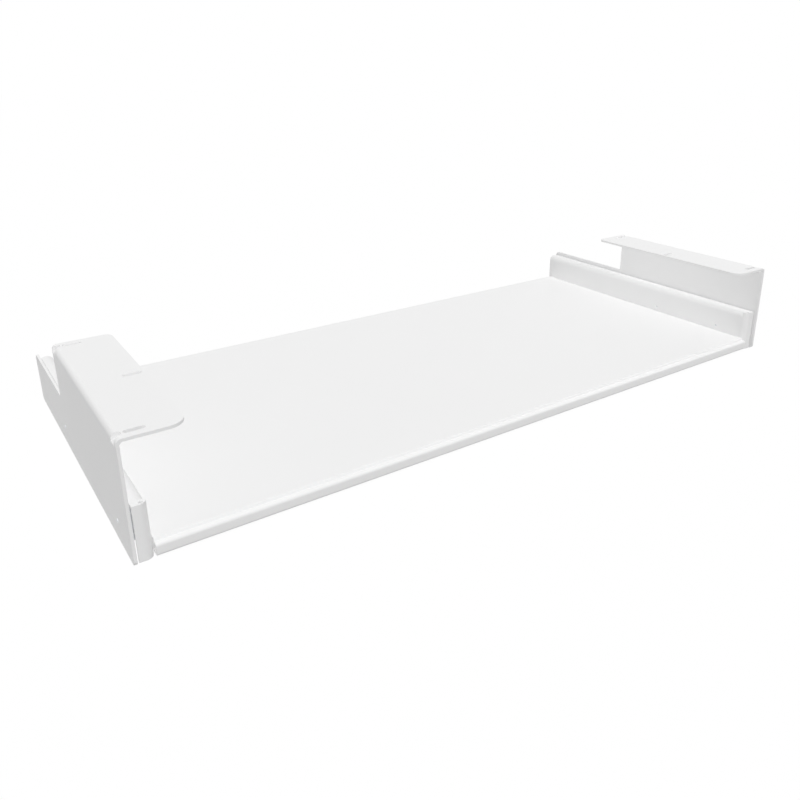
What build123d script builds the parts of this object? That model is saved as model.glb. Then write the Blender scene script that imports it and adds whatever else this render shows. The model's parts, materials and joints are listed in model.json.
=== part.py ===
"""Under-desk keyboard tray: a folded steel pan that pulls out on two ball-bearing slides.

Two L-shaped brackets screw to the underside of a desk. Each carries the outer member of a
two-section slide. The tray hangs between them on the inner members. Its side panels fold
outwards over the slides and close them off in front.

Axes: X runs from left to right, -Y points at the user, and Z is up. The origin is on the
floor of the box, midway between the brackets and midway along their depth.
"""
from build123d import *
import os

# Brackets
overall_width = 700.0
sheet = 2.3
bracket_height = 95.7
bracket_depth = 325.5
flange_depth = 204.0
tail_height = 48.2
flange_width = 47.5
bracket_bend = 4.3
plate_corner = 4.0
tail_corner = 6.0
step_corner = 3.0
flange_front_corner = 13.0
flange_rear_corner = 7.0

# Slots for the desk screws
slot_length = 14.4
slot_width = 4.6
slot_front_inset = 9.0
slot_pitch = 93.5
slot_near_bend = 14.5
slot_near_edge = 38.2

# Pressed gussets in the bracket bends
gusset_radius = 4.0
gusset_reach = 6.0
gusset_front_inset = 8.7
gusset_rear_inset = 6.8
gusset_wall = 1.6

# Tray side panels
panel_inner_face = 335.0
panel_bottom = 0.5
panel_top = 43.9
panel_front = 3.0
panel_rear = 324.0
panel_reach = 346.0
panel_bend = 6.2
ledge_rear_corner = 3.0
relief_diameter = 3.2
relief_from_web = 4.0
relief_from_front = 3.0

# Tray pan
floor_top = 13.8
pan_front = 1.1
pan_rear = 323.0
pan_bottom = 3.0
pan_bend = 2.6
nose_top = 11.5
nose_back = 4.7
joggle_back = 6.7
joggle_bend = 0.7
hem_back = 10.0
nose_end_gap = 0.5
pan_body_front = 12.0

# Slides
slide_centre = 18.5
slide_front = 24.0
slide_length = 300.0
slide_stock = 1.2
web_radius = 1.0
ball_diameter = 3.5
ball_reach = 4.9
ball_height = 10.4
race_gap = 0.08
outer_race_from = 40.0
outer_race_to = 125.0
inner_race_from = 220.0
inner_race_to = 290.0
inner_length = 292.0
cage_stock = 0.6
cage_web = 1.8
cage_shoulder = 0.8
cage_bend = 0.4
cage_tip = 7.2
cage_length = 70.0
cage_start = 133.5
cage_gap = 0.06
balls_per_row = 6
ball_flats = 3.02
ball_chamfer = 0.884
stop_height = 10.0
stop_depth = 1.2
stop_rise = 3.0
stop_play = 0.3

# Rubber buffers at the rear of the slides
buffer_length = 6.0
buffer_height = 19.0
buffer_rise = 7.6
buffer_gap = 0.4

# Release levers in the slides' inner members
travel = 215.0
lever_length = 62.0
lever_stock = 1.8
lever_height = 9.0
lever_root_height = 6.0
hook_length = 4.0
hook_reach = 2.9
finger_length = 8.0
finger_rise = 2.4
rivet_place = 36.0
rivet_diameter = 2.6
rivet_head_diameter = 5.0
rivet_head = 0.8

# Countersunk slide screws
screw_diameter = 3.0
head_diameter = 5.8
outer_screw_places = (33.6, 207.0)
outer_screw_rise = 0.6
inner_screw_places = (42.0, 128.8)
inner_screw_recess = 0.8

half_width = overall_width / 2
plate_inner_face = half_width - sheet
panel_outer_face = panel_inner_face + sheet
channel = plate_inner_face - panel_outer_face
ball_radius = ball_diameter / 2
race_middle = ball_radius + race_gap + slide_stock / 2
front = -bracket_depth / 2


def folded(corners, bend, side, stock=sheet):
    """A sheet's section: the path of its outer face, rounded at the bends and thickened to one side."""
    path = FilletPolyline(*corners, radius=bend)
    return make_face(offset(path, amount=stock, side=side, closed=True).edges())


def across(section, y_from, y_to):
    """A section drawn in X and Z, run along Y between two distances from the front of the brackets."""
    plane = Plane(origin=(0, front + y_to, 0), x_dir=(1, 0, 0), z_dir=(0, -1, 0))
    return extrude(plane * section, amount=y_to - y_from)


def along(section, x_from, x_to):
    """A section drawn in Y and Z, run along X; its Y counts from the front of the brackets."""
    plane = Plane(origin=(x_from, front, 0), x_dir=(0, 1, 0), z_dir=(1, 0, 0))
    return extrude(plane * section, amount=x_to - x_from)


def upright(section, z_from, z_to):
    """A section drawn in X and Y, run up along Z; its Y counts from the front of the brackets."""
    return extrude(Plane(origin=(0, front, z_from)) * section, amount=z_to - z_from)


def block(x_from, x_to, y_from, y_to, z_from, z_to):
    """A box between two corners; its Y counts from the front of the brackets."""
    outline = Pos((x_from + x_to) / 2, (y_from + y_to) / 2) * Rectangle(abs(x_to - x_from), y_to - y_from)
    return upright(outline, z_from, z_to)


def rounded_outline(corners):
    """A closed outline whose corners are given as (across, up, radius)."""
    outline = make_face(Polyline(*[corner[:2] for corner in corners], close=True).edges())
    for x, y, radius in corners:
        if radius:
            nearest = outline.vertices().sort_by_distance((x, y, 0))[0]
            outline = fillet(nearest, radius)
    return outline


def slide_place(reach, height):
    """A point of the right slide's section, from its distance to the plate and to its own centre."""
    return plate_inner_face - reach, slide_centre + height


def left_and_right(name, right):
    """The mirrored pair of a piece that is modelled on the right."""
    return {"left_" + name: mirror(right, about=Plane.YZ), "right_" + name: right}


def desk_slots():
    """The slots of the right flange: two beside the bend and one at the inner edge."""
    places = ((slot_near_bend, 0), (slot_near_edge, 1), (slot_near_bend, 2))
    outline = SlotOverall(slot_length, slot_width)
    for inset, step in places:
        middle = Pos(half_width - inset, slot_front_inset + step * slot_pitch)
        yield upright(middle * outline, bracket_height - 2 * sheet, bracket_height + sheet)


def gusset(place, radius, base):
    """A rod across the bend at 45 degrees, whose lower line leaves the flange one reach from the face."""
    lift = (radius - base) * 2 ** -0.5
    middle = Vector(half_width - gusset_reach / 2 + lift, front + place, bracket_height - gusset_reach / 2 + lift)
    return Plane(middle, x_dir=(0, 1, 0), z_dir=(1, 0, -1)) * Cylinder(radius, 4 * gusset_reach)


def screw_holes(places, x_from, x_to):
    """Plain holes along X at the slide's centre line."""
    return [along(Pos(y, slide_centre) * Circle(screw_diameter / 2), x_from, x_to) for y in places]


def make_bracket():
    """The right bracket: a stepped plate with a flange folded inwards under the desk."""
    fold = folded(
        ((half_width, 0), (half_width, bracket_height), (half_width - flange_width, bracket_height)),
        bracket_bend, Side.LEFT)
    side_outline = rounded_outline((
        (0, 0, plate_corner), (0, bracket_height, 0), (flange_depth, bracket_height, 0),
        (flange_depth, tail_height, step_corner), (bracket_depth, tail_height, tail_corner),
        (bracket_depth, 0, plate_corner)))
    flange_outline = rounded_outline((
        (half_width, 0, 0), (half_width - flange_width, 0, flange_front_corner),
        (half_width - flange_width, flange_depth, flange_rear_corner),
        (half_width - 2 * sheet, flange_depth, 0), (half_width - 2 * sheet, bracket_depth, 0),
        (half_width, bracket_depth, 0)))
    bracket = across(fold, 0, bracket_depth)
    bracket &= along(side_outline, half_width - flange_width, half_width)
    bracket &= upright(flange_outline, 0, bracket_height)
    inside = block(half_width - flange_width, plate_inner_face, 0, flange_depth, 0, bracket_height - sheet)
    for place in (gusset_front_inset, flange_depth - gusset_rear_inset):
        bracket += gusset(place, gusset_radius + gusset_wall, gusset_wall) & inside
        bracket -= gusset(place, gusset_radius, 0)
    for slot in desk_slots():
        bracket -= slot
    for hole in screw_holes(outer_screw_places, plate_inner_face, half_width):
        bracket -= hole
    return bracket


def make_side_panel():
    """The right side panel: web, ledge over the slide and a rounded wing that closes the slide in front."""
    bend_end = panel_front + panel_bend
    ledge = folded(
        ((panel_inner_face, panel_bottom), (panel_inner_face, panel_top), (panel_reach, panel_top)),
        panel_bend, Side.RIGHT)
    wing = folded(
        ((panel_reach, panel_front), (panel_inner_face, panel_front), (panel_inner_face, bend_end + sheet)),
        panel_bend, Side.RIGHT)
    panel = across(ledge, bend_end, panel_rear)
    panel += upright(wing, panel_bottom, panel_top) - block(
        panel_inner_face, panel_reach, bend_end, bend_end + 2 * sheet, panel_bottom, panel_top)
    panel += block(
        panel_outer_face, panel_reach, panel_front + sheet, bend_end, panel_top - sheet, panel_top)
    relief = Pos(panel_inner_face + relief_from_web, panel_front + relief_from_front) * Circle(relief_diameter / 2)
    panel -= upright(relief, panel_top - sheet, panel_top)
    corner = panel.edges().filter_by(Axis.Z).sort_by_distance((panel_reach, front + panel_rear, panel_top))[0]
    panel = chamfer(corner, ledge_rear_corner)
    for hole in screw_holes(inner_screw_places, panel_inner_face, panel_outer_face):
        panel -= hole
    return panel


def make_pan():
    """The tray floor, joggled down to a rounded nose in front, with its other edges folded down."""
    nose_width = panel_inner_face - nose_end_gap
    nose_path = FilletPolyline(
        (pan_body_front, floor_top), (joggle_back, floor_top), (nose_back, nose_top),
        (pan_front, nose_top), (pan_front, pan_bottom), (hem_back, pan_bottom),
        radius=(pan_bend, joggle_bend, pan_bend, pan_bend))
    nose = make_face(offset(nose_path, amount=sheet, side=Side.LEFT, closed=True).edges())
    rear = folded(
        ((pan_rear - pan_body_front, floor_top), (pan_rear, floor_top), (pan_rear, pan_bottom)),
        pan_bend, Side.RIGHT)
    body = folded(
        ((-panel_inner_face, pan_bottom), (-panel_inner_face, floor_top), (panel_inner_face, floor_top),
         (panel_inner_face, pan_bottom)),
        pan_bend, Side.RIGHT)
    pan = across(body, pan_body_front, pan_rear - pan_body_front)
    pan += along(nose, -nose_width, nose_width)
    pan += along(rear, -nose_width, nose_width)
    return pan


def race(from_angle, to_angle, web_reach):
    """The middle line of a slide member: a ball race above and below, joined through the web."""
    ball = Vector(ball_reach, ball_height)
    groove = CenterArc(ball, race_middle, from_angle, to_angle - from_angle)
    end = groove @ 1
    heading = groove % 1
    shoulder = end + heading * ((web_reach - end.X) / heading.X)
    half = groove + FilletPolyline(end, shoulder, (web_reach, 0), radius=web_radius)
    return Wire((half + mirror(half, about=Plane.XZ)).edges())


def slide_run(section, y_from, y_to):
    """A slide section, drawn from the plate and its own centre, run along Y on the right side."""
    flipped = mirror(section, about=Plane.YZ)
    return across(Pos(*slide_place(0, 0)) * flipped, y_from, y_to)


def countersunk(places, seat, point):
    """Flush screws along X at the slide's centre line, from the head's face to the thread's point."""
    depth = abs(point - seat)
    toward = 1 if point > seat else -1
    head = Cone(head_diameter / 2, screw_diameter / 2, slide_stock)
    shank = Cylinder(screw_diameter / 2, depth)
    screw = Pos(0, 0, slide_stock / 2) * head + Pos(0, 0, depth / 2) * shank
    for y in places:
        yield Plane(origin=(seat, front + y, slide_centre), x_dir=(0, 1, 0), z_dir=(toward, 0, 0)) * screw


def make_outer_member():
    """The slide member that is screwed to the bracket, with its ball races facing inwards."""
    middle = race(outer_race_from, outer_race_to, slide_stock / 2)
    member = slide_run(trace(middle, slide_stock), slide_front, slide_front + slide_length)
    inside = plate_inner_face - slide_stock
    member += block(
        inside - stop_rise, inside, slide_front, slide_front + stop_depth,
        slide_centre - stop_height / 2, slide_centre + stop_height / 2)
    for screw in countersunk(outer_screw_places, inside, half_width):
        member -= screw
    return member


def make_inner_member():
    """The slide member that is screwed to the tray, nested inside the outer one."""
    middle = race(inner_race_from, inner_race_to, channel - slide_stock / 2)
    member = slide_run(trace(middle, slide_stock), slide_front, slide_front + inner_length)
    for screw in countersunk(inner_screw_places, panel_outer_face + slide_stock, panel_inner_face):
        member -= screw
    return member - rivet_axis() * Cylinder(rivet_diameter / 2, 2 * slide_stock)


def ball_places():
    """The centres of the balls of the right slide, in two rows."""
    pitch = cage_length / balls_per_row
    x, _ = slide_place(ball_reach, 0)
    for row in (-1, 1):
        for number in range(balls_per_row):
            yield x, front + cage_start + pitch * (number + 0.5), slide_centre + row * ball_height


def make_cage():
    """The ball cage: a thin channel with a pocket for each ball."""
    turn = ball_height - cage_shoulder
    path = FilletPolyline(
        (cage_tip, ball_height), (cage_web + cage_shoulder, ball_height), (cage_web, turn),
        (cage_web, -turn), (cage_web + cage_shoulder, -ball_height), (cage_tip, -ball_height),
        radius=cage_bend)
    cage = slide_run(trace(path, cage_stock), cage_start, cage_start + cage_length)
    width = ball_diameter + 2 * cage_gap
    for place in ball_places():
        cage -= Pos(*place) * Box(width, width, width)
    return cage


def make_balls():
    """The balls of the right slide, in 26 flat facets whose corners lie on the true sphere."""
    ball = chamfer(Box(ball_flats, ball_flats, ball_flats).edges(), ball_chamfer)
    return Compound(children=[Pos(*place) * ball for place in ball_places()])


def lever_front():
    """Where the release lever's hook starts with the tray closed: one travel and its play behind the stop."""
    return slide_front + stop_depth + travel + stop_play


def lever_block(start, end, height, deep, shallow):
    """A block of the lever: its run behind the hook, its height and its two distances to the plate."""
    outline = Pos((deep + shallow) / 2, 0) * Rectangle(shallow - deep, height)
    return slide_run(outline, lever_front() + start, lever_front() + end)


def rivet_axis():
    """A plane on the inner member's web at the rivet, facing the bracket."""
    x, z = slide_place(channel - slide_stock, 0)
    return Plane(origin=(x, front + lever_front() + rivet_place, z), x_dir=(0, 1, 0), z_dir=(1, 0, 0))


def make_release_lever():
    """The lever that catches the front stop at full travel, and lets the tray out when it is pressed."""
    web = channel - slide_stock
    lever = lever_block(0, lever_length, lever_root_height, web - lever_stock, web)
    lever += lever_block(0, rivet_place / 2, lever_height, web - lever_stock, web)
    lever += lever_block(0, hook_length, lever_height, hook_reach, web)
    lever += lever_block(
        lever_length - finger_length, lever_length, lever_height, web - lever_stock - finger_rise, web)
    return lever - rivet_axis() * Cylinder(rivet_diameter / 2, 2 * channel)


def make_rivet():
    """The rivet that the release lever turns on."""
    shank = Cylinder(rivet_diameter / 2, slide_stock + lever_stock)
    head = Cylinder(rivet_head_diameter / 2, rivet_head)
    rivet = Pos(0, 0, (lever_stock - slide_stock) / 2) * shank
    rivet += Pos(0, 0, lever_stock + rivet_head / 2) * head
    return rivet_axis() * rivet


def make_buffer():
    """The rubber block that the inner member meets when the tray is pushed home."""
    rear = slide_front + inner_length + buffer_gap
    outline = Pos(slide_stock + buffer_rise / 2, 0) * Rectangle(buffer_rise, buffer_height)
    return slide_run(outline, rear, rear + buffer_length)


def make_screws(places, seat, point):
    """One slide's screws as separate solids."""
    return Compound(children=list(countersunk(places, seat, point)))


parts = {"tray_pan": make_pan()}
parts.update(left_and_right("bracket", make_bracket()))
parts.update(left_and_right("side_panel", make_side_panel()))
parts.update(left_and_right("slide_outer_member", make_outer_member()))
parts.update(left_and_right("slide_inner_member", make_inner_member()))
parts.update(left_and_right("ball_cage", make_cage()))
parts.update(left_and_right("balls", make_balls()))
parts.update(left_and_right("closing_buffer", make_buffer()))
parts.update(left_and_right("release_lever", make_release_lever()))
parts.update(left_and_right("lever_rivet", make_rivet()))
parts.update(left_and_right("bracket_screws", make_screws(
    outer_screw_places, plate_inner_face - slide_stock, half_width + outer_screw_rise)))
parts.update(left_and_right("tray_screws", make_screws(
    inner_screw_places, panel_outer_face + slide_stock, panel_inner_face + inner_screw_recess)))

os.makedirs("parts", exist_ok=True)
for name, solid in parts.items():
    export_step(solid, f"parts/{name}.step")
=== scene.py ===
"""The look of an under-desk keyboard tray: powder-coated sheet steel on two zinc-plated ball slides."""

import json
import math

import bmesh
import bpy
from bpy.props import FloatProperty, FloatVectorProperty, IntProperty, PointerProperty
from mathutils import Matrix, Vector


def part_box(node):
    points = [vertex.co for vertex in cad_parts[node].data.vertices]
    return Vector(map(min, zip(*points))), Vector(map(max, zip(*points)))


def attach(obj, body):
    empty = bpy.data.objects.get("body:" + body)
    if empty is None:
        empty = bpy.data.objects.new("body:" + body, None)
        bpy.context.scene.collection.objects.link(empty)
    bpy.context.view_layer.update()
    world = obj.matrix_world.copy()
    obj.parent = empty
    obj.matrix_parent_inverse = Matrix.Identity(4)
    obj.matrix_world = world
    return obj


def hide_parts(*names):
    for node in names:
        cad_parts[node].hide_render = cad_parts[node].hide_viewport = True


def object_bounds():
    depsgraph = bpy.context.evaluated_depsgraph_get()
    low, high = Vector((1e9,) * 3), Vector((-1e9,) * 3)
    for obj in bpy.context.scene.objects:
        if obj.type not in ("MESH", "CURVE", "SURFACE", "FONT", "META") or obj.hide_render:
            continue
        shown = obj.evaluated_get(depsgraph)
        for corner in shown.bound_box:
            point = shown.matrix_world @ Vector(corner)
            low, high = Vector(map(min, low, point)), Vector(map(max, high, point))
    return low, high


bl_info = {
    "name": "Keyboard tray",
    "version": (1, 0, 0),
    "blender": (4, 5, 0),
    "location": "View3D > Sidebar > Keyboard tray",
    "description": "Finishes the sheet steel, slides and fasteners of a pull-out keyboard tray and lights it",
    "category": "Add Mesh",
}

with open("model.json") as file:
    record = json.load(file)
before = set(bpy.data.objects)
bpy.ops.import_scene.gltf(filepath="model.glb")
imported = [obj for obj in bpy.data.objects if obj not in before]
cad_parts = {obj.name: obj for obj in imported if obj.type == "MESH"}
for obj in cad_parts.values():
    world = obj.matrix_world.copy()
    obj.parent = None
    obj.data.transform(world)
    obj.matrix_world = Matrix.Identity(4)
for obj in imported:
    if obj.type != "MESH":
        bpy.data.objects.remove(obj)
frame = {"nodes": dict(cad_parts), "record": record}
cad_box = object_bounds()

MM = 0.001
SIDES = {"left": -1, "right": 1}
SHEET_STEEL = ("tray_pan", "left_bracket", "right_bracket", "left_side_panel", "right_side_panel")

# Corners of a plain solid nearer than this are one corner. Slivers beside the sheets' bends are wider, and
# would hold the rounding of the edges back. Heights within LEVEL are one height.
SAME_CORNER = 0.002 * MM
SHEET_SLIVER = 0.15 * MM
LEVEL = 0.01 * MM

# The pan's lip: its bend, up from its lower edge, and its joggle, back from its front and above the floor's
# underside. The joggle moves forward by its shift, and by its lean for each millimetre further back.
LIP_BEND = 2.6 * MM
JOGGLE = (4.8 * MM, 6.8 * MM)
UNDER_FLOOR = 11.3 * MM
JOGGLE_SHIFT = 0.6 * MM
JOGGLE_LEAN = 0.45

# The side panels' lower edge ends this far above the brackets'.
PANEL_GAP = 0.05 * MM

# Gussets: how far behind the bracket's front each one's middle is, and how deep its recess starts at the
# plate's outer face. Its floor rises towards the flange. The recess and the swelling under it each have
# how far in they reach, the radius of their round end, and where they begin.
GUSSET_PLACES = (8.7 * MM, 197.2 * MM)
RECESS_START = 6.1 * MM
RECESS_RISE = 4.0 / 5.9
ALONG_SLOPE = 1.21
RECESS = (6.04 * MM, 4.04 * MM, -1.0 * MM)
SWELLING = (7.2 * MM, 5.4 * MM, 1.2 * MM)

# Screws: the head, the share of its radius that the cross takes, how much the cross narrows to its bottom,
# its depth, and the length of the smooth end.
HEAD_DEPTH = 1.2 * MM
CROSS_REACH = 0.62
CROSS_TAPER = 0.62
CROSS_DEPTH = 0.8 * MM
SMOOTH_END = 2.0 * MM

# Rivets: the height of the dome, and the radius of the shank.
DOME_HEIGHT = 0.8 * MM
SHANK_RADIUS = 1.3 * MM


# Helpers

def body_of(node):
    """The body that a node of the model belongs to."""
    for body, members in frame["record"]["behaviour"]["bodies"].items():
        if node in members:
            return body
    raise ValueError("no body holds " + node)


def finish_piece(mesh_name, bm, node, material, smooth_angle=35):
    """Turn a bmesh into the piece that stands for a node, and let it ride on that node's body."""
    mesh = bpy.data.meshes.new(mesh_name)
    bm.to_mesh(mesh)
    bm.free()
    mesh.materials.append(material)
    piece = bpy.data.objects.new(mesh_name, mesh)
    bpy.context.scene.collection.objects.link(piece)
    mesh.shade_smooth()
    mesh.set_sharp_from_angle(angle=math.radians(smooth_angle))
    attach(piece, body_of(node))
    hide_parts(node)
    return piece


def softened(node, name, material, edge, segments=2, reshape=None, merge=SAME_CORNER):
    """A copy of a node with its edges rounded off, as a coat, a die or a mould leaves them.

    Corners nearer than the merge distance become one.
    """
    bm = bmesh.new()
    bm.from_mesh(frame["nodes"][node].data)
    if reshape:
        reshape(bm)
    bmesh.ops.remove_doubles(bm, verts=bm.verts, dist=merge)
    bmesh.ops.dissolve_limit(
        bm, angle_limit=math.radians(0.4), verts=bm.verts, edges=bm.edges, use_dissolve_boundaries=False)
    piece = finish_piece(name, bm, node, material)
    bevel = piece.modifiers.new("soft edges", "BEVEL")
    bevel.width = edge
    bevel.segments = segments
    bevel.limit_method = "ANGLE"
    bevel.angle_limit = math.radians(50)
    weighted = piece.modifiers.new("flat faces stay flat", "WEIGHTED_NORMAL")
    weighted.keep_sharp = True
    weighted.weight = 90
    return piece


# Materials

def linear(hex_colour):
    """An sRGB hex colour as linear red, green, blue and alpha."""
    channels = [int(hex_colour.lstrip("#")[i:i + 2], 16) / 255 for i in (0, 2, 4)]
    return [c / 12.92 if c <= 0.04045 else ((c + 0.055) / 1.055) ** 2.4 for c in channels] + [1.0]


def dimmed(colour, share=1.0):
    """A colour at a share of its brightness, and opaque."""
    return [channel * share for channel in colour[:3]] + [1.0]


def add_node(tree, kind, settings=None, inputs=None):
    """Add a node, set its properties, and set or link its inputs by name or number."""
    node = tree.nodes.new(kind)
    for key, value in (settings or {}).items():
        setattr(node, key, value)
    for key, value in (inputs or {}).items():
        if isinstance(value, bpy.types.NodeSocket):
            tree.links.new(value, node.inputs[key])
        else:
            node.inputs[key].default_value = value
    return node


def new_material(name):
    """An empty material, and its node tree with the output cleared."""
    material = bpy.data.materials.new(name)
    material.use_nodes = True
    material.node_tree.nodes.clear()
    return material, material.node_tree


def close_material(tree, shader):
    """Link a shader to the material's output."""
    add_node(tree, "ShaderNodeOutputMaterial", inputs={"Surface": shader.outputs[0]})


def powder_coat(colour, roughness):
    """White polyester powder coat on sheet steel, sprayed and baked.

    It flows out in the oven but keeps a faint orange peel about 1.6 mm from crest to crest. That
    breaks up its satin shine. Baking leaves the shine a little uneven over some centimetres.
    """
    material, tree = new_material("powder_coat_white")
    place = add_node(tree, "ShaderNodeTexCoord").outputs["Object"]
    peel = add_node(tree, "ShaderNodeTexNoise", inputs={
        "Vector": place, "Scale": 1 / (1.6 * MM), "Detail": 2.0, "Roughness": 0.45})
    clouds = add_node(tree, "ShaderNodeTexNoise", inputs={
        "Vector": place, "Scale": 1 / (60 * MM), "Detail": 2.0, "Roughness": 0.5})
    shine = add_node(tree, "ShaderNodeMapRange", inputs={
        "Value": clouds.outputs["Fac"], "From Min": 0.3, "From Max": 0.7,
        "To Min": roughness - 0.03, "To Max": roughness + 0.03})
    tint = add_node(tree, "ShaderNodeValToRGB", inputs={"Fac": clouds.outputs["Fac"]})
    tint.color_ramp.elements[0].position = 0.3
    tint.color_ramp.elements[0].color = dimmed(colour, 0.994)
    tint.color_ramp.elements[1].position = 0.7
    tint.color_ramp.elements[1].color = dimmed(colour)
    bump = add_node(tree, "ShaderNodeBump", inputs={
        "Strength": 0.25, "Distance": 0.012 * MM, "Height": peel.outputs["Fac"]})
    close_material(tree, add_node(tree, "ShaderNodeBsdfPrincipled", inputs={
        "Base Color": tint.outputs["Color"], "Roughness": shine.outputs["Result"], "IOR": 1.5,
        "Specular IOR Level": 0.35, "Normal": bump.outputs["Normal"]}))
    return material


def zinc_plate(name, colour, roughness, roll_mm):
    """Dull zinc plate on rolled steel strip.

    The rolls leave fine lines along the strip, and the plate keeps them, so highlights run in streaks.
    Its clear passivation scatters part of the light, as a pale matt film does.
    """
    material, tree = new_material(name)
    place = add_node(tree, "ShaderNodeTexCoord").outputs["Object"]
    along = add_node(tree, "ShaderNodeMapping", {"vector_type": "POINT"}, {
        "Vector": place, "Scale": (1 / (roll_mm * MM), 1 / (40 * MM), 1 / (roll_mm * MM))})
    lines = add_node(tree, "ShaderNodeTexNoise", inputs={
        "Vector": along.outputs["Vector"], "Scale": 1.0, "Detail": 3.0, "Roughness": 0.6})
    bloom = add_node(tree, "ShaderNodeTexNoise", inputs={
        "Vector": place, "Scale": 1 / (9 * MM), "Detail": 3.0, "Roughness": 0.6})
    shine = add_node(tree, "ShaderNodeMapRange", inputs={
        "Value": lines.outputs["Fac"], "From Min": 0.25, "From Max": 0.75,
        "To Min": roughness - 0.08, "To Max": roughness + 0.1})
    tint = add_node(tree, "ShaderNodeValToRGB", inputs={"Fac": bloom.outputs["Fac"]})
    tint.color_ramp.elements[0].position = 0.35
    tint.color_ramp.elements[0].color = dimmed(colour, 0.86)
    tint.color_ramp.elements[1].position = 0.65
    tint.color_ramp.elements[1].color = dimmed(colour)
    bump = add_node(tree, "ShaderNodeBump", inputs={
        "Strength": 0.2, "Distance": 0.01 * MM, "Height": lines.outputs["Fac"]})
    close_material(tree, add_node(tree, "ShaderNodeBsdfPrincipled", inputs={
        "Base Color": tint.outputs["Color"], "Metallic": 0.5, "Roughness": shine.outputs["Result"],
        "Normal": bump.outputs["Normal"]}))
    return material


def chrome_steel(colour):
    """Ground and lapped bearing steel: a mirror with the faintest haze from the lapping."""
    material, tree = new_material("bearing_steel_lapped")
    place = add_node(tree, "ShaderNodeTexCoord").outputs["Object"]
    haze = add_node(tree, "ShaderNodeTexNoise", inputs={
        "Vector": place, "Scale": 1 / (0.4 * MM), "Detail": 2.0})
    shine = add_node(tree, "ShaderNodeMapRange", inputs={
        "Value": haze.outputs["Fac"], "To Min": 0.08, "To Max": 0.16})
    close_material(tree, add_node(tree, "ShaderNodeBsdfPrincipled", inputs={
        "Base Color": dimmed(colour), "Metallic": 1.0, "Roughness": shine.outputs["Result"]}))
    return material


def moulded(name, colour, roughness, grain_mm, depth_mm):
    """Injection-moulded rubber or plastic: an even colour and the fine spark-eroded grain of its mould."""
    material, tree = new_material(name)
    place = add_node(tree, "ShaderNodeTexCoord").outputs["Object"]
    grain = add_node(tree, "ShaderNodeTexNoise", inputs={
        "Vector": place, "Scale": 1 / (grain_mm * MM), "Detail": 3.0, "Roughness": 0.6})
    shine = add_node(tree, "ShaderNodeMapRange", inputs={
        "Value": grain.outputs["Fac"], "From Min": 0.3, "From Max": 0.7,
        "To Min": roughness - 0.06, "To Max": roughness + 0.06})
    bump = add_node(tree, "ShaderNodeBump", inputs={
        "Strength": 0.4, "Distance": depth_mm * MM, "Height": grain.outputs["Fac"]})
    close_material(tree, add_node(tree, "ShaderNodeBsdfPrincipled", inputs={
        "Base Color": dimmed(colour), "Roughness": shine.outputs["Result"], "IOR": 1.5,
        "Normal": bump.outputs["Normal"]}))
    return material


# Settings

class TRAY_PG_finishes(bpy.types.PropertyGroup):
    """Colours and sheens of the tray's pieces."""

    coat: FloatVectorProperty(
        name="Powder coat", description="Colour of the powder coat", subtype="COLOR", size=4,
        default=linear("#EFEFEF"), min=0, max=1)
    coat_roughness: FloatProperty(
        name="Coat roughness", description="Roughness of the satin powder coat", subtype="FACTOR",
        default=0.55, min=0, max=1)
    zinc: FloatVectorProperty(
        name="Zinc plate", description="Colour of the plated slide members", subtype="COLOR", size=4,
        default=linear("#DFE1E3"), min=0, max=1)
    screw_zinc: FloatVectorProperty(
        name="Screw plate", description="Colour of the plated screws and rivets", subtype="COLOR", size=4,
        default=linear("#E2E5E8"), min=0, max=1)
    ball: FloatVectorProperty(
        name="Balls", description="Colour of the bearing balls", subtype="COLOR", size=4,
        default=linear("#DADBDD"), min=0, max=1)
    rubber: FloatVectorProperty(
        name="Rubber", description="Colour of the closing buffers", subtype="COLOR", size=4,
        default=linear("#242425"), min=0, max=1)
    lever: FloatVectorProperty(
        name="Lever", description="Colour of the release levers", subtype="COLOR", size=4,
        default=linear("#2A2B2D"), min=0, max=1)


class TRAY_PG_sizes(bpy.types.PropertyGroup):
    """Small sizes that only the look needs."""

    coat_edge: FloatProperty(
        name="Coated edge", description="Radius of a coated sheet edge", subtype="DISTANCE",
        default=0.22 * MM, min=0.05 * MM, max=MM)
    lip_drop: FloatProperty(
        name="Lip drop", description="How far the pan's edges reach below the plain model's",
        subtype="DISTANCE", default=1.8 * MM, min=0, max=2.5 * MM)
    gusset_wall: FloatProperty(
        name="Gusset wall", description="Thickness of the sheet under a gusset", subtype="DISTANCE",
        default=1.6 * MM, min=MM, max=2 * MM)
    metal_edge: FloatProperty(
        name="Stamped edge", description="Radius of a stamped and plated edge", subtype="DISTANCE",
        default=0.12 * MM, min=0.02 * MM, max=0.5 * MM)
    moulded_edge: FloatProperty(
        name="Moulded edge", description="Radius of the edges of a release lever", subtype="DISTANCE",
        default=0.3 * MM, min=0.05 * MM, max=MM)
    buffer_edge: FloatProperty(
        name="Buffer edge", description="Radius of the edges of a rubber buffer", subtype="DISTANCE",
        default=1.5 * MM, min=0.1 * MM, max=2.5 * MM)
    ball_diameter: FloatProperty(
        name="Ball diameter", description="Diameter of the bearing balls", subtype="DISTANCE",
        default=3.5 * MM, min=3 * MM, max=3.6 * MM)
    ball_rings: IntProperty(
        name="Ball rings", description="Rings of faces on each ball", default=12, min=6, max=32)
    thread_diameter: FloatProperty(
        name="Thread diameter", description="Outside diameter of the slide screws' thread",
        subtype="DISTANCE", default=3 * MM, min=2 * MM, max=3 * MM)
    thread_pitch: FloatProperty(
        name="Thread pitch", description="Distance from ridge to ridge of the slide screws' thread",
        subtype="DISTANCE", default=0.5 * MM, min=0.3 * MM, max=MM)
    recess_width: FloatProperty(
        name="Recess width", description="Width of an arm of the cross recess in a screw's head",
        subtype="DISTANCE", default=0.75 * MM, min=0.4 * MM, max=MM)


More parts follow.
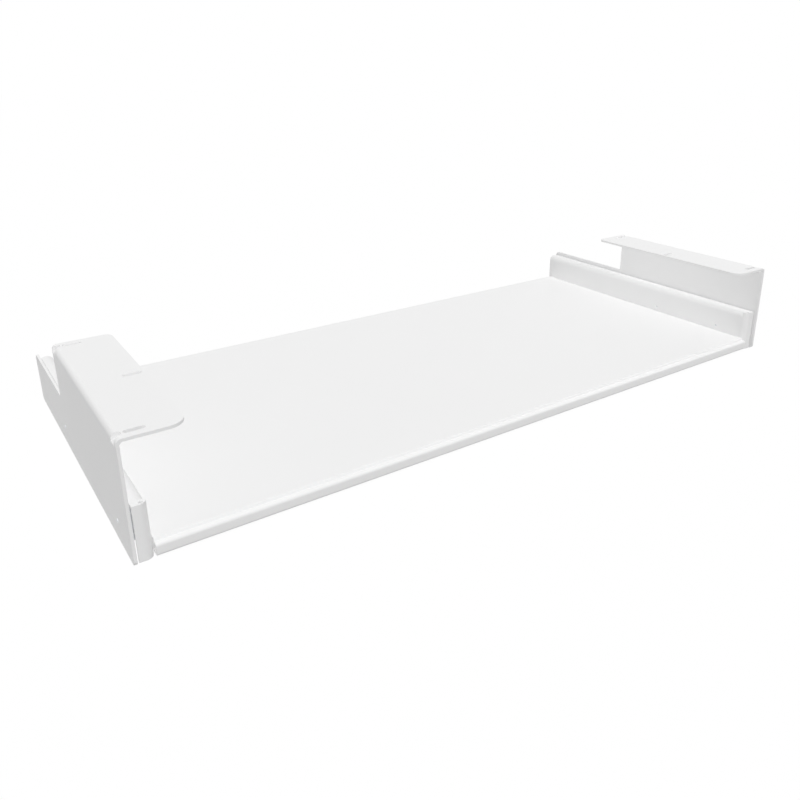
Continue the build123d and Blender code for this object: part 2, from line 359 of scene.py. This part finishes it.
class TRAY_PG_stage(bpy.types.PropertyGroup):
    """Camera and light."""

    lens: FloatProperty(
        name="Lens", description="Focal length of the camera", subtype="DISTANCE_CAMERA", default=34.42)
    camera_place: FloatVectorProperty(
        name="Camera", description="Where the camera stands", subtype="TRANSLATION", unit="LENGTH", size=3,
        default=(-0.43357, -0.62434, 0.32450))
    camera_forward: FloatVectorProperty(
        name="View direction", description="The direction that the camera looks in",
        subtype="DIRECTION", size=3, default=(0.5369, 0.7698, -0.3452))
    camera_up: FloatVectorProperty(
        name="Up direction", description="The direction that points up in the picture",
        subtype="DIRECTION", size=3, default=(0.1994, 0.2819, 0.9385))
    shift: FloatVectorProperty(
        name="Shift", description="How far the picture is shifted off the lens's axis", size=2,
        default=(-0.0330, -0.0849))
    bounce: FloatProperty(
        name="Floor bounce", description="Share of the light that the floor throws back at the tray",
        subtype="FACTOR", default=0.38, min=0, max=1)
    sky: FloatProperty(
        name="Room light", description="Strength of the even light from all round", default=0.5, min=0)
    overhead: FloatProperty(
        name="Overhead light", description="Strength of the soft lamp overhead", default=1.05, min=0)
    key: FloatProperty(
        name="Key light", description="Strength of the soft lamp high on the left in front",
        default=0.4, min=0)
    front_fill: FloatProperty(
        name="Front fill", description="Strength of the soft lamp in front", default=0.5, min=0)
    right_fill: FloatProperty(
        name="Right fill", description="Strength of the soft lamp high on the right", default=0.5, min=0)
    lamp_width: FloatProperty(
        name="Lamp width", description="Angle that each lamp fills, which softens its light",
        subtype="ANGLE", default=math.radians(30), min=0, max=math.pi)


# Pieces

def settings():
    """The scene's settings for the tray."""
    return bpy.context.scene.tray_finishes, bpy.context.scene.tray_sizes, bpy.context.scene.tray_stage


def reshape_pan(bm):
    """Draw the pan's lip and flanges down, and make the joggle behind the lip steeper."""
    low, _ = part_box("tray_pan")
    _, sizes, _ = settings()
    edge = [v for v in bm.verts if v.co.z < low.z + LIP_BEND + LEVEL]
    bmesh.ops.translate(bm, vec=(0, 0, -sizes.lip_drop), verts=edge)
    start, end = JOGGLE
    for vert in bm.verts:
        behind = vert.co.y - low.y
        if start < behind < end and vert.co.z > UNDER_FLOOR:
            vert.co.y -= JOGGLE_SHIFT + JOGGLE_LEAN * (behind - start)


def lengthen_panel(bm):
    """Draw a side panel's lower edge down to the level of the brackets'."""
    low = min(v.co.z for v in bm.verts)
    edge = [v for v in bm.verts if v.co.z < low + LEVEL]
    bmesh.ops.translate(bm, vec=(0, 0, cad_box[0].z + PANEL_GAP - low), verts=edge)


def combine(bm, tool, operation):
    """Join a closed tool to a bmesh, or cut it away."""
    pieces = []
    for part in (bm, tool):
        mesh = bpy.data.meshes.new("part")
        part.to_mesh(mesh)
        pieces.append(bpy.data.objects.new("part", mesh))
        bpy.context.scene.collection.objects.link(pieces[-1])
    boolean = pieces[0].modifiers.new("tool", "BOOLEAN")
    boolean.operation = operation
    boolean.solver = "EXACT"
    boolean.object = pieces[1]
    done = pieces[0].evaluated_get(bpy.context.evaluated_depsgraph_get())
    bm.clear()
    bm.from_mesh(done.to_mesh())
    done.to_mesh_clear()
    tool.free()
    for piece in pieces:
        mesh = piece.data
        bpy.data.objects.remove(piece)
        bpy.data.meshes.remove(mesh)


def gusset_tool(reach, radius, start, floor, roof):
    """The form of a gusset between a floor and a roof, given as heights along X.

    X runs from the plate's outer face and Y from the gusset's middle. Seen from above, its end is the
    section of a rod that leans at 45 degrees, so it is a flat arc.
    """
    stations = []
    for step in range(1, 9):
        angle = math.radians(11.25 * step)
        stations.append((reach - 2 ** 0.5 * radius * (1 - math.cos(angle)), radius * math.sin(angle)))
    stations = [station for station in stations if station[0] > start + 0.2 * MM]
    stations.append((start, stations[-1][1]))
    bm = bmesh.new()
    sections = [
        [bm.verts.new((x, y, z)) for y, z in (
            (-half, floor(x)), (half, floor(x)), (half, roof(x)), (-half, roof(x)))]
        for x, half in stations]
    bm.faces.new(sections[0])
    bm.faces.new(sections[-1][::-1])
    for near, far in zip(sections, sections[1:]):
        for corner in range(4):
            after = (corner + 1) % 4
            bm.faces.new((near[corner], far[corner], far[after], near[after]))
    return bm


def deepen_gussets(bm):
    """Press the gussets of a bracket's bend in again, with a steep wall at the flange's end."""
    _, sizes, _ = settings()
    outer = max((v.co.x for v in bm.verts), key=abs)
    top = cad_box[1].z

    def floor(x):
        """The height of the recess's sloping floor."""
        return top - RECESS_START + x * RECESS_RISE

    def swelling(x):
        """The height of the floor's underside: one wall further down, measured square to the slope."""
        return floor(x) - ALONG_SLOPE * sizes.gusset_wall

    def inside(x):
        """A height within the bracket's sheet, round its bend."""
        return top - 1.2 * MM if x > 4 * MM else top - 2.1 * MM if x > 1.8 * MM else top - 3.6 * MM

    for place in GUSSET_PLACES:
        turn = Matrix.Translation((outer, cad_box[0].y + place, 0)) @ Matrix.Diagonal(
            (-math.copysign(1, outer), 1, 1, 1))
        for tool, operation in (
                (gusset_tool(*SWELLING, swelling, inside), "UNION"),
                (gusset_tool(*RECESS, floor, lambda x: top + MM), "DIFFERENCE")):
            bmesh.ops.transform(tool, matrix=turn, verts=tool.verts)
            bmesh.ops.recalc_face_normals(tool, faces=tool.faces)
            combine(bm, tool, operation)


RESHAPED = {
    "tray_pan": reshape_pan, "left_side_panel": lengthen_panel, "right_side_panel": lengthen_panel,
    "left_bracket": deepen_gussets, "right_bracket": deepen_gussets}


class TRAY_OT_coat_sheet_steel(bpy.types.Operator):
    """Coat the brackets, the pan and the side panels, and round their edges as the coat does"""

    bl_idname = "tray.coat_sheet_steel"
    bl_label = "Coat sheet steel"

    def execute(self, context):
        """Replace each sheet-steel node with a coated copy."""
        finishes, sizes, _ = settings()
        coat = powder_coat(finishes.coat, finishes.coat_roughness)
        for node in SHEET_STEEL:
            softened(
                node, node + "_coated", coat, sizes.coat_edge, reshape=RESHAPED.get(node), merge=SHEET_SLIVER)
        return {"FINISHED"}


class TRAY_OT_plate_slides(bpy.types.Operator):
    """Plate the slide members and the ball cages"""

    bl_idname = "tray.plate_slides"
    bl_label = "Plate slides"

    def execute(self, context):
        """Replace the slide members and cages with plated copies."""
        finishes, sizes, _ = settings()
        plate = zinc_plate("zinc_plate_on_rolled_strip", finishes.zinc, roughness=0.48, roll_mm=0.35)
        cage_plate = zinc_plate("zinc_plate_on_cage", finishes.screw_zinc, roughness=0.36, roll_mm=0.3)
        for side in SIDES:
            for member in ("slide_outer_member", "slide_inner_member"):
                node = side + "_" + member
                softened(node, node + "_plated", plate, sizes.metal_edge)
            softened(side + "_ball_cage", side + "_ball_cage_plated", cage_plate, sizes.metal_edge / 2)
        return {"FINISHED"}


class TRAY_OT_mould_levers_and_buffers(bpy.types.Operator):
    """Mould the release levers and the closing buffers"""

    bl_idname = "tray.mould_levers_and_buffers"
    bl_label = "Mould levers and buffers"

    def execute(self, context):
        """Replace the levers and buffers with moulded copies."""
        finishes, sizes, _ = settings()
        rubber = moulded("moulded_rubber", finishes.rubber, roughness=0.72, grain_mm=0.3, depth_mm=0.02)
        acetal = moulded("moulded_acetal", finishes.lever, roughness=0.42, grain_mm=0.25, depth_mm=0.01)
        for side in SIDES:
            softened(
                side + "_closing_buffer", side + "_closing_buffer_moulded", rubber, sizes.buffer_edge,
                segments=4)
            softened(side + "_release_lever", side + "_release_lever_moulded", acetal, sizes.moulded_edge)
        return {"FINISHED"}


def solid_boxes(node):
    """The boxes of a node's separate solids, as pairs of corners, in order along Y and then Z."""
    bm = bmesh.new()
    bm.from_mesh(frame["nodes"][node].data)
    bmesh.ops.remove_doubles(bm, verts=bm.verts, dist=SAME_CORNER)
    left = set(bm.verts)
    boxes = []
    while left:
        reached = [left.pop()]
        for vert in reached:
            for edge in vert.link_edges:
                other = edge.other_vert(vert)
                if other in left:
                    left.remove(other)
                    reached.append(other)
        boxes.append(tuple(
            Vector([pick(v.co[axis] for v in reached) for axis in range(3)]) for pick in (min, max)))
    bm.free()
    return sorted(boxes, key=lambda box: (round(box[0].y, 5), round(box[0].z, 5)))


class TRAY_OT_fit_balls(bpy.types.Operator):
    """Fit the bearing balls into their cages"""

    bl_idname = "tray.fit_balls"
    bl_label = "Fit balls"

    def execute(self, context):
        """Put a round ball in the place of each solid ball."""
        finishes, sizes, _ = settings()
        steel = chrome_steel(finishes.ball)
        for side in SIDES:
            node = side + "_balls"
            bm = bmesh.new()
            for low, high in solid_boxes(node):
                bmesh.ops.create_uvsphere(
                    bm, u_segments=2 * sizes.ball_rings, v_segments=sizes.ball_rings,
                    radius=sizes.ball_diameter / 2, matrix=Matrix.Translation((low + high) / 2))
            finish_piece(node + "_lapped", bm, node, steel, smooth_angle=60)
        return {"FINISHED"}


def spun_solid(profile, steps):
    """A closed solid of revolution about Z, with its poles merged and its faces pointing outwards."""
    bm = bmesh.new()
    verts = [bm.verts.new((radius, 0, height)) for radius, height in profile]
    edges = [bm.edges.new(pair) for pair in zip(verts, verts[1:])]
    bmesh.ops.spin(
        bm, geom=verts + edges, cent=(0, 0, 0), axis=(0, 0, 1), angle=2 * math.pi, steps=steps,
        use_merge=True, use_duplicate=False)
    bmesh.ops.remove_doubles(bm, verts=bm.verts, dist=0.001 * MM)
    bmesh.ops.recalc_face_normals(bm, faces=bm.faces)
    return bm


def add_solid(whole, one, matrix):
    """Move a solid to its place and add it to a bmesh that holds several."""
    bmesh.ops.transform(one, matrix=matrix, verts=one.verts)
    mesh = bpy.data.meshes.new("one")
    one.to_mesh(mesh)
    one.free()
    whole.from_mesh(mesh)
    bpy.data.meshes.remove(mesh)


def screw_profile(head_radius, length, sizes):
    """A countersunk machine screw from its head's face down, as (radius, height) points with thread ridges.

    The first ring inside the head's rim is where the arms of the cross recess end.
    """
    crest = sizes.thread_diameter / 2
    root = crest - 0.54 * sizes.thread_pitch
    points = [
        (0, 0), (CROSS_REACH * head_radius, 0), (head_radius, 0), (head_radius, -0.15 * MM),
        (crest, -HEAD_DEPTH)]
    height = -HEAD_DEPTH - sizes.thread_pitch / 2
    while height > -length + sizes.thread_pitch + SMOOTH_END:
        points += [(root, height), (crest, height - sizes.thread_pitch / 2)]
        height -= sizes.thread_pitch
    return points + [(crest, -length + 0.25 * MM), (crest - 0.25 * MM, -length), (0, -length)]


def flat_top(bm):
    """The faces of a solid that lie flat at height 0."""
    return [face for face in bm.faces if all(abs(v.co.z) < 0.001 * MM for v in face.verts)]


def cut_cross(bm, arm_width, reach, depth):
    """Press a cross recess into the flat face at height 0, with walls that close in towards its bottom."""
    for axis in (Vector((1, 0, 0)), Vector((0, 1, 0))):
        for edge in (-arm_width / 2, arm_width / 2):
            disc = flat_top(bm)
            geometry = set(disc)
            for face in disc:
                geometry.update(face.edges)
                geometry.update(face.verts)
            bmesh.ops.bisect_plane(
                bm, geom=list(geometry), dist=0.001 * MM, plane_co=axis * edge, plane_no=axis)
    arms = []
    for face in flat_top(bm):
        middle = face.calc_center_median()
        if min(abs(middle.x), abs(middle.y)) < arm_width / 2 and middle.to_2d().length < reach:
            arms.append(face)
    sunk = bmesh.ops.extrude_face_region(bm, geom=arms)["geom"]
    bmesh.ops.delete(bm, geom=[face for face in arms if face.is_valid], context="FACES")
    bottom = [item for item in sunk if isinstance(item, bmesh.types.BMVert)]
    bmesh.ops.scale(bm, vec=(CROSS_TAPER, CROSS_TAPER, 1), verts=bottom)
    bmesh.ops.translate(bm, vec=(0, 0, -depth), verts=bottom)


class TRAY_OT_drive_screws(bpy.types.Operator):
    """Drive the countersunk screws that hold the slides"""

    bl_idname = "tray.drive_screws"
    bl_label = "Drive screws"

    def execute(self, context):
        """Put a threaded screw with a cross recess in the place of each plain one."""
        finishes, sizes, _ = settings()
        plate = zinc_plate("zinc_plate_on_screws", finishes.screw_zinc, roughness=0.34, roll_mm=0.5)
        for side, sign in SIDES.items():
            for kind, toward in (("bracket_screws", sign), ("tray_screws", -sign)):
                node = side + "_" + kind
                whole = bmesh.new()
                for low, high in solid_boxes(node):
                    head_radius = (high.z - low.z) / 2
                    seat = low.x if toward > 0 else high.x
                    place = Matrix.Translation((seat, (low.y + high.y) / 2, (low.z + high.z) / 2))
                    one = spun_solid(screw_profile(head_radius, high.x - low.x, sizes), 24)
                    cut_cross(one, sizes.recess_width, CROSS_REACH * head_radius, CROSS_DEPTH)
                    add_solid(whole, one, place @ Matrix.Rotation(toward * math.pi / -2, 4, "Y"))
                finish_piece(node + "_threaded", whole, node, plate, smooth_angle=30)
        return {"FINISHED"}


class TRAY_OT_set_rivets(bpy.types.Operator):
    """Set the rivets that the release levers turn on"""

    bl_idname = "tray.set_rivets"
    bl_label = "Set rivets"

    def execute(self, context):
        """Put a rivet with a domed head in the place of each plain one."""
        finishes, _, _ = settings()
        plate = zinc_plate("zinc_plate_on_rivets", finishes.screw_zinc, roughness=0.32, roll_mm=0.5)
        for side, sign in SIDES.items():
            node = side + "_lever_rivet"
            low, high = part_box(node)
            head = (high.z - low.z) / 2
            length = high.x - low.x
            seat = high.x if sign > 0 else low.x
            steps = [math.radians(15 * step) for step in range(7)]
            profile = [(head * math.sin(a), -DOME_HEIGHT * (1 - math.cos(a))) for a in steps]
            profile += [(SHANK_RADIUS, -DOME_HEIGHT), (SHANK_RADIUS, -length), (0, -length)]
            place = Matrix.Translation((seat, (low.y + high.y) / 2, (low.z + high.z) / 2))
            bm = spun_solid(profile, 24)
            turn = Matrix.Rotation(sign * math.pi / 2, 4, "Y")
            bmesh.ops.transform(bm, matrix=place @ turn, verts=bm.verts)
            finish_piece(node + "_domed", bm, node, plate, smooth_angle=30)
        return {"FINISHED"}


# Stage

# Each lamp's direction from the tray. The lamps cast no shadow: the soft one comes from the room's light.
LAMPS = {"overhead": (-1, -1, 3), "key": (-1, -1, 1), "front_fill": (0, -1, 0), "right_fill": (1, 0, 1)}


def camera_matrix(place, forward, up):
    """The matrix of a camera from where it stands, where it looks and what is up."""
    back = -Vector(forward).normalized()
    right = Vector(up).cross(back).normalized()
    matrix = Matrix((right, back.cross(right), back)).transposed().to_4x4()
    matrix.translation = place
    return matrix


def seen_directly(tree):
    """A socket that is 1 for what the camera, a reflection or clear material sees, and 0 for lighting."""
    path = add_node(tree, "ShaderNodeLightPath").outputs
    seen = add_node(tree, "ShaderNodeMath", {"operation": "MAXIMUM"}, {
        0: path["Is Camera Ray"], 1: path["Is Glossy Ray"]})
    seen = add_node(tree, "ShaderNodeMath", {"operation": "MAXIMUM"}, {
        0: seen.outputs[0], 1: path["Is Transmission Ray"]})
    return seen.outputs[0]


def stage_material(name, bounce, shade):
    """Matt paper: white to the camera and to reflections, with a light trace of the shadow.

    It throws back less light than it shows, as a floor does that is lit apart from the object.
    """
    material, tree = new_material(name)
    seen = seen_directly(tree)
    part = add_node(tree, "ShaderNodeMath", {"operation": "MULTIPLY"}, {0: seen, 1: 1 - shade})
    colour = add_node(tree, "ShaderNodeMapRange", inputs={"Value": seen, "To Min": bounce, "To Max": 1.0})
    matt = add_node(tree, "ShaderNodeBsdfDiffuse", inputs={"Color": colour.outputs["Result"]})
    white = add_node(tree, "ShaderNodeEmission", inputs={"Color": (1, 1, 1, 1), "Strength": 1.0})
    mix = add_node(tree, "ShaderNodeMixShader", inputs={
        0: part.outputs[0], 1: matt.outputs[0], 2: white.outputs[0]})
    close_material(tree, mix)
    return material


class TRAY_OT_set_stage(bpy.types.Operator):
    """Lay the floor and set the camera and the lights"""

    bl_idname = "tray.set_stage"
    bl_label = "Set stage"

    def execute(self, context):
        """Build the floor, the camera, the lamps and the even light of the room."""
        scene = context.scene
        _, _, stage = settings()
        bm = bmesh.new()
        bmesh.ops.create_grid(bm, x_segments=1, y_segments=1, size=6)
        mesh = bpy.data.meshes.new("floor")
        bm.to_mesh(mesh)
        bm.free()
        mesh.materials.append(stage_material("matt_white_paper", stage.bounce, 0.12))
        floor = bpy.data.objects.new("floor", mesh)
        scene.collection.objects.link(floor)

        lens = bpy.data.cameras.new("camera")
        lens.sensor_width = 36
        lens.lens = stage.lens
        lens.shift_x, lens.shift_y = stage.shift
        lens.clip_start = 0.01
        camera = bpy.data.objects.new("camera", lens)
        camera.matrix_world = camera_matrix(stage.camera_place, stage.camera_forward, stage.camera_up)
        scene.collection.objects.link(camera)
        scene.camera = camera

        for name, direction in LAMPS.items():
            lamp = bpy.data.lights.new(name, "SUN")
            lamp.energy = getattr(stage, name)
            lamp.angle = stage.lamp_width
            lamp.use_shadow = False
            lit = bpy.data.objects.new(name, lamp)
            lit.rotation_euler = Vector(direction).to_track_quat("Z", "Y").to_euler()
            scene.collection.objects.link(lit)

        world = bpy.data.worlds.new("room")
        world.use_nodes = True
        tree = world.node_tree
        tree.nodes.clear()
        seen = seen_directly(tree)
        even = add_node(tree, "ShaderNodeBackground", inputs={"Color": (1, 1, 1, 1), "Strength": stage.sky})
        white = add_node(tree, "ShaderNodeBackground", inputs={"Color": (1, 1, 1, 1), "Strength": 1.0})
        mix = add_node(tree, "ShaderNodeMixShader", inputs={
            0: seen, 1: even.outputs[0], 2: white.outputs[0]})
        add_node(tree, "ShaderNodeOutputWorld", inputs={"Surface": mix.outputs[0]})
        scene.world = world
        scene.view_settings.view_transform = "Standard"
        return {"FINISHED"}


class TRAY_PT_panel(bpy.types.Panel):
    """The tray's settings and pieces in the 3D view's sidebar"""

    bl_label = "Keyboard tray"
    bl_idname = "TRAY_PT_panel"
    bl_space_type = "VIEW_3D"
    bl_region_type = "UI"
    bl_category = "Keyboard tray"

    def draw(self, context):
        """List the settings and the operators."""
        layout = self.layout
        scene = context.scene
        for group in (scene.tray_finishes, scene.tray_sizes, scene.tray_stage):
            box = layout.box()
            for name in group.__annotations__:
                box.prop(group, name)
        for operator in OPERATORS:
            layout.operator(operator.bl_idname)


OPERATORS = (
    TRAY_OT_set_stage, TRAY_OT_coat_sheet_steel, TRAY_OT_plate_slides, TRAY_OT_mould_levers_and_buffers,
    TRAY_OT_fit_balls, TRAY_OT_drive_screws, TRAY_OT_set_rivets)
GROUPS = {"tray_finishes": TRAY_PG_finishes, "tray_sizes": TRAY_PG_sizes, "tray_stage": TRAY_PG_stage}


def register():
    """Register the classes and hang the settings on the scene."""
    for name, group in GROUPS.items():
        bpy.utils.register_class(group)
        setattr(bpy.types.Scene, name, PointerProperty(type=group))
    for kind in OPERATORS + (TRAY_PT_panel,):
        bpy.utils.register_class(kind)


def unregister():
    """Take the settings and the classes away again."""
    for kind in (TRAY_PT_panel,) + OPERATORS:
        bpy.utils.unregister_class(kind)
    for name, group in GROUPS.items():
        delattr(bpy.types.Scene, name)
        bpy.utils.unregister_class(group)


def main():
    """Build every piece and the stage."""
    register()
    bpy.ops.tray.set_stage()
    bpy.ops.tray.coat_sheet_steel()
    bpy.ops.tray.plate_slides()
    bpy.ops.tray.mould_levers_and_buffers()
    bpy.ops.tray.fit_balls()
    bpy.ops.tray.drive_screws()
    bpy.ops.tray.set_rivets()


if __name__ == "__main__":
    main()
